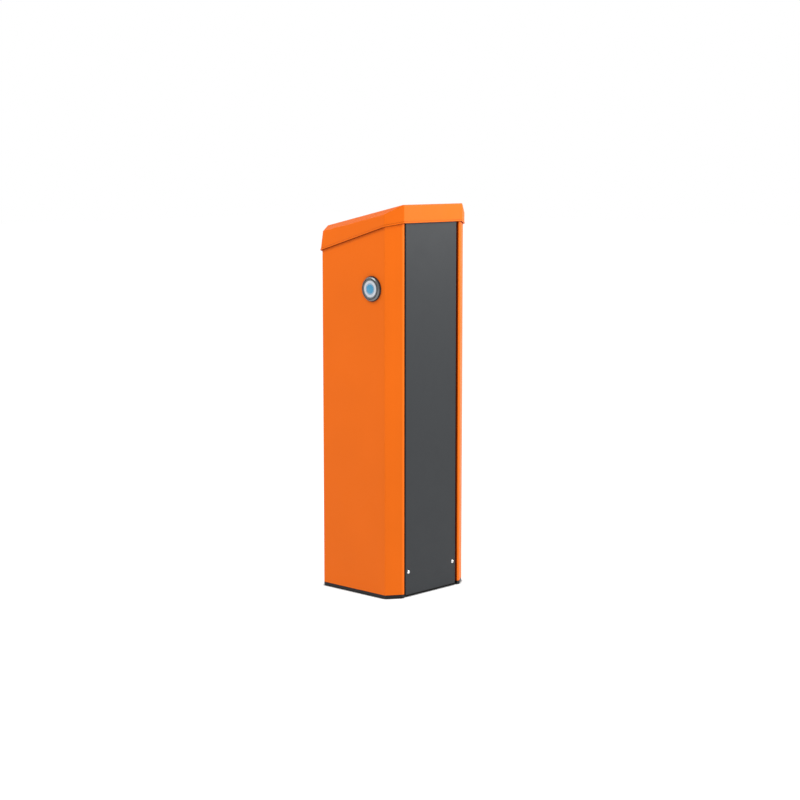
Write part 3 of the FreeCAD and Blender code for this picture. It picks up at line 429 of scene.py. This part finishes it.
def add_screw_head(edit, centre, axis, radius, height):
    """Cheese head with a rounded rim and a recessed drive."""
    recess = radius * 0.42
    profile = [(radius * 0.98, 0), (radius, height * 0.6), (radius * 0.86, height), (recess, height),
               (recess * 0.8, height * 0.35)]
    add_turned(edit, centre, axis, profile, 20)


# Cap ------------------------------------------------------------------------

cap_proud = 0.0066
cap_floor = 0.0046
cap_collar_height = 0.0034
cap_chamfer_run = 0.0024
cap_chamfer_drop = 0.0018
emblem_radius = 0.0128
emblem_thick = 0.0003


def ring_profile(seat, outer, spigot, depth):
    """Section of the cap ring: medallion seat, rim, groove, chamfered front, then the spigot behind."""
    top = cap_proud
    edge = outer - 0.0006
    crest = edge - cap_chamfer_run
    return [(seat, cap_floor), (seat, top - 0.0003), (seat + 0.0003, top), (crest - 0.0023, top),
            (crest - 0.0019, top - 0.0018), (crest - 0.0011, top - 0.0018), (crest - 0.0007, top),
            (crest, top), (edge, top - cap_chamfer_drop), (outer, top - cap_chamfer_drop - 0.0008),
            (outer, cap_collar_height), (spigot, cap_collar_height), (spigot, -depth),
            (spigot - 0.002, -depth), (spigot - 0.002, 0.0026)]


def add_cap_ring():
    """Metallic cap ring on a black collar, with a crisper front than the CAD ring."""
    low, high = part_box("cap_ring")
    seat_low, seat_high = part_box("cap_medallion")
    wide = (high.z - low.z) / 2
    seat = (seat_high.z - seat_low.z) / 2 + 0.0002
    spigot = wide - 0.003
    shell_face = low.x + cap_proud
    centre = (shell_face, (low.y + high.y) / 2, (low.z + high.z) / 2)
    ring = bmesh.new()
    add_turned(ring, centre, (-1, 0, 0), ring_profile(seat, wide - 0.0016, spigot, high.x - shell_face), 72)
    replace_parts(piece("cap_ring_front", ring, "cap_metallic"), "cap_ring")
    collar = bmesh.new()
    collar_profile = [(wide, 0), (wide, 0.0004), (wide - 0.001, cap_collar_height - 0.0004),
                      (wide - 0.0014, cap_collar_height)]
    add_turned(collar, centre, (-1, 0, 0), collar_profile, 72)
    piece("cap_collar", collar, "rubber")


def add_emblem():
    """Plain blue roundel, a disc in a thin ring, on the front of the cap's medallion."""
    low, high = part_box("cap_medallion")
    centre = (low.x, (low.y + high.y) / 2, (low.z + high.z) / 2)
    outward = (-1, 0, 0)
    edit = bmesh.new()
    disc = emblem_radius * 0.84
    add_turned(edit, centre, outward, [(disc, -emblem_thick), (disc, emblem_thick * 0.6),
                                       (disc * 0.97, emblem_thick)], 48)
    outer = emblem_radius
    inner = emblem_radius * 0.92
    section = [(inner, -emblem_thick), (inner, emblem_thick), (outer, emblem_thick),
               (outer, -emblem_thick), (inner, -emblem_thick)]
    add_turned(edit, centre, outward, section, 48, closed_ends=False)
    bmesh.ops.remove_doubles(edit, verts=edit.verts, dist=1e-7)
    piece("cap_emblem", edit, "emblem_blue")


# Balance springs ------------------------------------------------------------

spring_wire_r = 0.00295
spring_turns = 10.5
spring_end_turns = 1.0
spring_steps = 32
wire_sides = 12


def spring_height(turn, room):
    """Height on the wire's centre line: closed end coils, with open coils between them."""
    closed = spring_end_turns * 2 * spring_wire_r
    open_turns = spring_turns - 2 * spring_end_turns
    if turn < spring_end_turns:
        return turn * closed / spring_end_turns
    if turn > spring_turns - spring_end_turns:
        return room - (spring_turns - turn) * closed / spring_end_turns
    return closed + (turn - spring_end_turns) * (room - 2 * closed) / open_turns


def add_coil(edit, centre, low, high, radius):
    """Round wire wound on a cylinder between two heights."""
    room = high - low - 2 * spring_wire_r
    count = int(spring_turns * spring_steps)
    path = []
    for k in range(count + 1):
        turn = k / spring_steps
        angle = 2 * math.pi * turn
        height = low + spring_wire_r + spring_height(turn, room)
        outward = Vector((math.cos(angle), math.sin(angle), 0))
        path.append(Vector((centre.x, centre.y, height)) + radius * outward)
    rings = []
    for k, point in enumerate(path):
        along = (path[min(k + 1, count)] - path[max(k - 1, 0)]).normalized()
        outward = Vector((point.x - centre.x, point.y - centre.y, 0)).normalized()
        across = along.cross(outward)
        rings.append([point + spring_wire_r * (outward * math.cos(a) + across * math.sin(a))
                      for a in (2 * math.pi * j / wire_sides for j in range(wire_sides))])
    add_ring_faces(edit, rings)


def add_springs():
    """Balance springs, wound at one length; the real ones shorten as the tie rods pull their lower plates
    up.
    """
    low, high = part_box("balance_springs")
    outer = (high.y - low.y) / 2
    ceiling = high.z
    edit = bmesh.new()
    for side in (-1, 1):
        centre = Vector((side * (high.x - outer), (low.y + high.y) / 2, 0))
        add_coil(edit, centre, low.z, ceiling, outer - spring_wire_r)
    made = piece("coil_springs", edit, "spring_steel")
    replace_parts(made, "balance_springs")
    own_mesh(made)


# Details of the electrical parts ---------------------------------------------

rearward = (0, 1, 0)
terminal_count = 7
terminal_half_wide = 0.003
terminal_well_offset = 0.009
terminal_well_depth = 0.008
marker_half_wide = 0.0024
marker_half_tall = 0.0022
breaker_well_offset = 0.032
breaker_well_depth = 0.024
supply_screw_count = 5
supply_screw_inset = 0.012
supply_screw_pitch = 0.010
supply_screw_depth = 0.006
supply_screw_offset = 0.036
supply_corner_inset = 0.008
supply_corner_offset = 0.034
bar_count = 9
bar_width = 0.0022
line_count = 3
line_pitch = 0.006
lamp_inset = 0.011
connector_count = 4
connector_inset = 0.012
connector_pitch = 0.026
connector_width = 0.021
connector_drop = 0.009
pole_count = 4
pole_pitch = 0.005


def add_terminal_details():
    """Screw heads in the wells of the feed-through terminals, and their blank markers."""
    low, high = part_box("terminal_blocks")
    middle = (low.z + high.z) / 2
    pitch = (high.x - low.x - 2 * terminal_half_wide) / (terminal_count - 1)
    heads = bmesh.new()
    markers = bmesh.new()
    for k in range(terminal_count):
        x = low.x + terminal_half_wide + k * pitch
        for side in (-1, 1):
            z = middle + side * terminal_well_offset
            add_screw_head(heads, (x, high.y - terminal_well_depth, z), rearward, 0.0016, 0.0012)
        add_plate(markers, x - marker_half_wide, x + marker_half_wide, middle - marker_half_tall,
                  middle + marker_half_tall, high.y)
    piece("terminal_screws", heads, "zinc_plate")
    piece("terminal_markers", markers, "label_white")


def add_breaker_details():
    """Clamp screws and two blank rating plates on the circuit breaker."""
    low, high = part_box("circuit_breaker")
    middle_x = (low.x + high.x) / 2
    middle_z = (low.z + high.z) / 2
    edit = bmesh.new()
    for side in (-1, 1):
        centre = (middle_x, high.y - breaker_well_depth, middle_z + side * breaker_well_offset)
        add_screw_head(edit, centre, rearward, 0.0027, 0.002)
    piece("breaker_screws", edit, "zinc_plate")
    plate = bmesh.new()
    add_plate(plate, low.x + 0.003, high.x - 0.003, middle_z - 0.0205, middle_z - 0.0135, high.y)
    add_plate(plate, low.x + 0.0045, high.x - 0.0045, middle_z + 0.0145, middle_z + 0.0185, high.y)
    piece("breaker_plate", plate, "label_white")


def add_supply_details():
    """Terminal screws, a trimmer, a lamp and a blank rating plate on the power supply."""
    low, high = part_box("power_supply")
    middle_z = (low.z + high.z) / 2
    screws = bmesh.new()
    for k in range(supply_screw_count):
        x = low.x + supply_screw_inset + supply_screw_pitch * k
        centre = (x, high.y - supply_screw_depth, middle_z - supply_screw_offset)
        add_screw_head(screws, centre, rearward, 0.0022, 0.0016)
    trimmer = (high.x - supply_corner_inset, high.y - 0.0002, middle_z + supply_corner_offset)
    add_screw_head(screws, trimmer, rearward, 0.002, 0.0011)
    piece("supply_screws", screws, "zinc_plate")
    plate = bmesh.new()
    add_plate(plate, low.x + 0.010, high.x - 0.010, middle_z - 0.016, middle_z + 0.018, high.y)
    piece("supply_plate", plate, "label_white")
    lamp = bmesh.new()
    centre = (low.x + supply_corner_inset, high.y - 0.0004, middle_z + supply_corner_offset)
    add_turned(lamp, centre, rearward, [(0.0018, 0), (0.0018, 0.0012), (0.0012, 0.0019)], 16)
    piece("supply_lamp", lamp, "lamp_green")


def add_display_figures():
    """Rising and falling bars and three plain lines on the controller's display."""
    low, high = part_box("controller_display")
    figures = bmesh.new()
    width = high.x - low.x
    foot = low.z + 0.006
    for k in range(bar_count):
        tall = 0.004 + 0.0014 * (k % 5)
        x = low.x + width * (0.10 + 0.05 * k)
        add_plate(figures, x, x + bar_width, foot, foot + tall, high.y)
    for k in range(line_count):
        z = low.z + 0.007 + line_pitch * k
        add_plate(figures, high.x - 0.028, high.x - 0.008 - 0.004 * k, z, z + 0.002, high.y)
    piece("display_figures", figures, "ink_grey")


def add_controller_details():
    """Status lamps and plug-in connectors on the controller."""
    low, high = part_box("controller_case")
    lamps = (("status_lamp_upper", 0.022, "lamp_green"), ("status_lamp_lower", 0.034, "lamp_amber"))
    for name, drop, finish in lamps:
        lamp = bmesh.new()
        add_turned(lamp, (high.x - lamp_inset, high.y - 0.001, high.z - drop), rearward,
                   [(0.0026, 0), (0.0026, 0.0014), (0.0017, 0.0022)], 20)
        piece(name, lamp, finish)
    connectors = bmesh.new()
    rear = high.y - 0.012
    for k in range(connector_count):
        x = low.x + connector_inset + connector_pitch * k
        add_block(connectors, (x, low.y + 0.010, low.z - connector_drop), (x + connector_width, rear, low.z),
                  0.0004)
        for j in range(pole_count):
            hole = x + 0.003 + pole_pitch * j
            add_turned(connectors, (hole, rear, low.z - connector_drop / 2), rearward,
                       [(0.0016, 0), (0.0016, 0.0008), (0.0009, 0.0008), (0.0009, 0.0001)], 12)
    piece("controller_connectors", connectors, "connector_green")


scene.view_settings.view_transform = "Standard"
add_camera()
add_lights()
add_floor()
materials = make_materials()
paint_frame()
add_cap_ring()
add_emblem()
add_springs()
add_terminal_details()
add_breaker_details()
add_supply_details()
add_display_figures()
add_controller_details()
